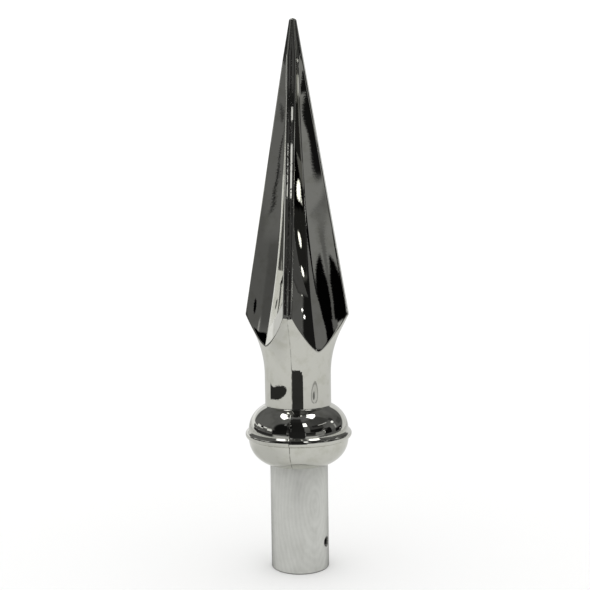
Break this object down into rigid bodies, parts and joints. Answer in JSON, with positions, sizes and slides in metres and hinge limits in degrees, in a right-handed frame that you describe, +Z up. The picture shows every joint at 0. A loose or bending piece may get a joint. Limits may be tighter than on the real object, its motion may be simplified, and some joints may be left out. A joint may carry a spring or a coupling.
{
  "type": "flagpole finial",
  "caption": "Spear-shaped flagpole finial: ridged blade, flared neck and beaded bun, with a thin tubular ferrule that slips over the end of a pole.",
  "frame": {"origin": "centre of the ferrule's open lower end, on the surface that the finial stands on", "axes": "+Z up the finial's axis to its tip, -Y towards the front ridge that carries the mould's parting line"},
  "size_m": [0.0496, 0.0496, 0.2537],
  "materials": {
    "bright_chrome": "mirror plating with slight waviness",
    "satin_plating": "pale satin plating"
  },
  "bodies": {
    "root": {"spear": "bright_chrome", "ferrule": "satin_plating"}
  },
  "joints": []
}
